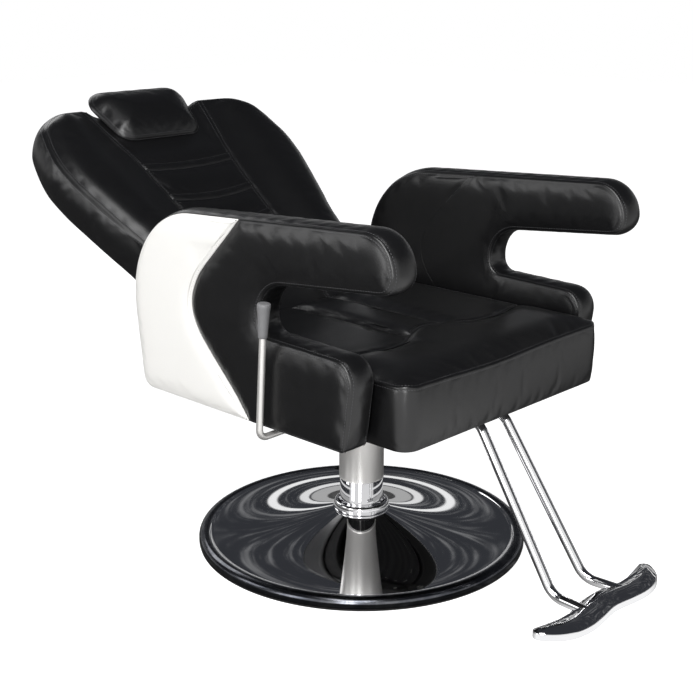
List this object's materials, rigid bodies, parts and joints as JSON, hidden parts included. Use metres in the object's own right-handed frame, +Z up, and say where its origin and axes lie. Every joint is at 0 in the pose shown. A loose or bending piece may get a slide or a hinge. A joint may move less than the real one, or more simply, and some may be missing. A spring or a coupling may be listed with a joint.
{
  "type": "barber chair",
  "caption": "Hydraulic barber chair on a round base, with hooked padded arms, a reclining back with a sliding headrest, a footrest, a pump pedal and a recline lever.",
  "frame": {"origin": "centre of the base's flat underside, on the floor", "axes": "+Z up the column, +X to the sitter's left, -Y to the front where the footrest is, +Y to the rear where the back reclines"},
  "size_m": [0.695, 1.2735, 0.8036],
  "materials": {
    "cast_base": "rough cast, painted black",
    "black_rubber": "matte",
    "mirror_chrome": "mirror",
    "zinc_steel": "zinc plated",
    "satin_steel": "satin",
    "brass_parts": "machined",
    "black_frame": "semi-gloss black paint",
    "plywood": "raw plywood",
    "black_leather": "soft sheen leatherette",
    "white_leather": "satin leatherette",
    "grey_plastic": "fine matte"
  },
  "bodies": {
    "base": {"base_plate": "cast_base", "rubber_edge": "black_rubber", "base_cover": "mirror_chrome", "collar_ring": "mirror_chrome", "pump_housing": "mirror_chrome", "pump_bolts": "zinc_steel", "pump_cylinder": "zinc_steel", "gland_nut": "brass_parts", "pump_block": "zinc_steel", "pedal_bracket": "mirror_chrome", "pedal_pin": "zinc_steel"},
    "lift": {"piston_rod": "zinc_steel", "piston_seal": "black_rubber", "thrust_bearing": "zinc_steel"},
    "pedal": {"pedal_arm": "mirror_chrome", "pedal_pad": "black_rubber"},
    "plunger": {"pump_plunger": "zinc_steel"},
    "seat": {"top_plate": "black_frame", "swivel_hub": "black_frame", "outer_sleeve": "satin_steel", "frame_bolts": "zinc_steel", "rail_left": "black_frame", "rail_right": "black_frame", "cross_front": "black_frame", "cross_rear": "black_frame", "seat_board": "plywood", "seat_cushion": "black_leather", "arm_left": "black_leather", "arm_right": "black_leather", "side_panel_left": "white_leather", "side_panel_right": "white_leather", "arm_bracket_left": "black_frame", "arm_bracket_right": "black_frame", "arm_bolts": "zinc_steel", "hinge_lug_left": "black_frame", "hinge_lug_right": "black_frame", "hinge_pins": "zinc_steel", "foot_tube_left": "mirror_chrome", "foot_tube_right": "mirror_chrome", "tube_sockets": "black_frame", "foot_plate": "mirror_chrome", "foot_plate_screws": "zinc_steel", "lever_bush": "brass_parts", "lever_block": "black_frame", "spring_anchor": "black_frame"},
    "back": {"back_cushion": "black_leather", "back_board": "plywood", "back_cover": "black_leather", "back_bracket_left": "black_frame", "back_bracket_right": "black_frame", "hinge_bushes": "brass_parts", "recline_tail": "black_frame", "headrest_guide": "black_frame"},
    "headrest": {"headrest_pad": "black_leather", "headrest_plate": "plywood", "headrest_bar": "mirror_chrome"},
    "lever": {"lever_rod": "satin_steel", "lever_grip": "grey_plastic"},
    "gas_cylinder": {"gas_cylinder": "black_frame"},
    "gas_rod": {"gas_rod": "satin_steel"}
  },
  "joints": [
    {"name": "seat_lift", "type": "slide", "parent": "base", "child": "lift", "axis": [0, 0, 1], "range_m": [0, 0.15]},
    {"name": "seat_swivel", "type": "hinge", "parent": "lift", "child": "seat", "pos_m": [0, 0, 0.28], "axis": [0, 0, 1], "continuous": true},
    {"name": "back_recline", "type": "hinge", "parent": "seat", "child": "back", "pos_m": [0, 0.165, 0.395], "axis": [1, 0, 0], "range_deg": [0, 45]},
    {"name": "headrest_slide", "type": "slide", "parent": "back", "child": "headrest", "axis": [0, 0.809, 0.5878], "range_m": [0, 0.08]},
    {"name": "recline_lever", "type": "hinge", "parent": "seat", "child": "lever", "pos_m": [0, -0.1, 0.317], "axis": [1, 0, 0], "range_deg": [0, 12], "stiffness_Nm_per_rad": 2, "springref_deg": -14.32},
    {"name": "gas_swing", "type": "hinge", "parent": "seat", "child": "gas_cylinder", "pos_m": [-0.125, -0.07, 0.285], "axis": [1, 0, 0], "range_deg": [0, 3]},
    {"name": "gas_stroke", "type": "slide", "parent": "gas_cylinder", "child": "gas_rod", "axis": [0, 0.9973, 0.0733], "range_m": [0, 0.075]},
    {"name": "pump_pedal", "type": "hinge", "parent": "base", "child": "pedal", "pos_m": [0.0396, 0.0396, 0.098], "axis": [-0.7071, 0.7071, 0], "range_deg": [0, 13], "stiffness_Nm_per_rad": 15, "springref_deg": -17.19},
    {"name": "plunger_stroke", "type": "slide", "parent": "base", "child": "plunger", "axis": [0, 0, 1], "range_m": [0, 0.0062]}
  ],
  "couplings": [
    {"joint": "gas_swing", "follows": "back_recline", "ratio": 0.031},
    {"joint": "gas_stroke", "follows": "back_recline", "m_per_rad": 0.0922},
    {"joint": "plunger_stroke", "follows": "pump_pedal", "m_per_rad": 0.0258}
  ]
}
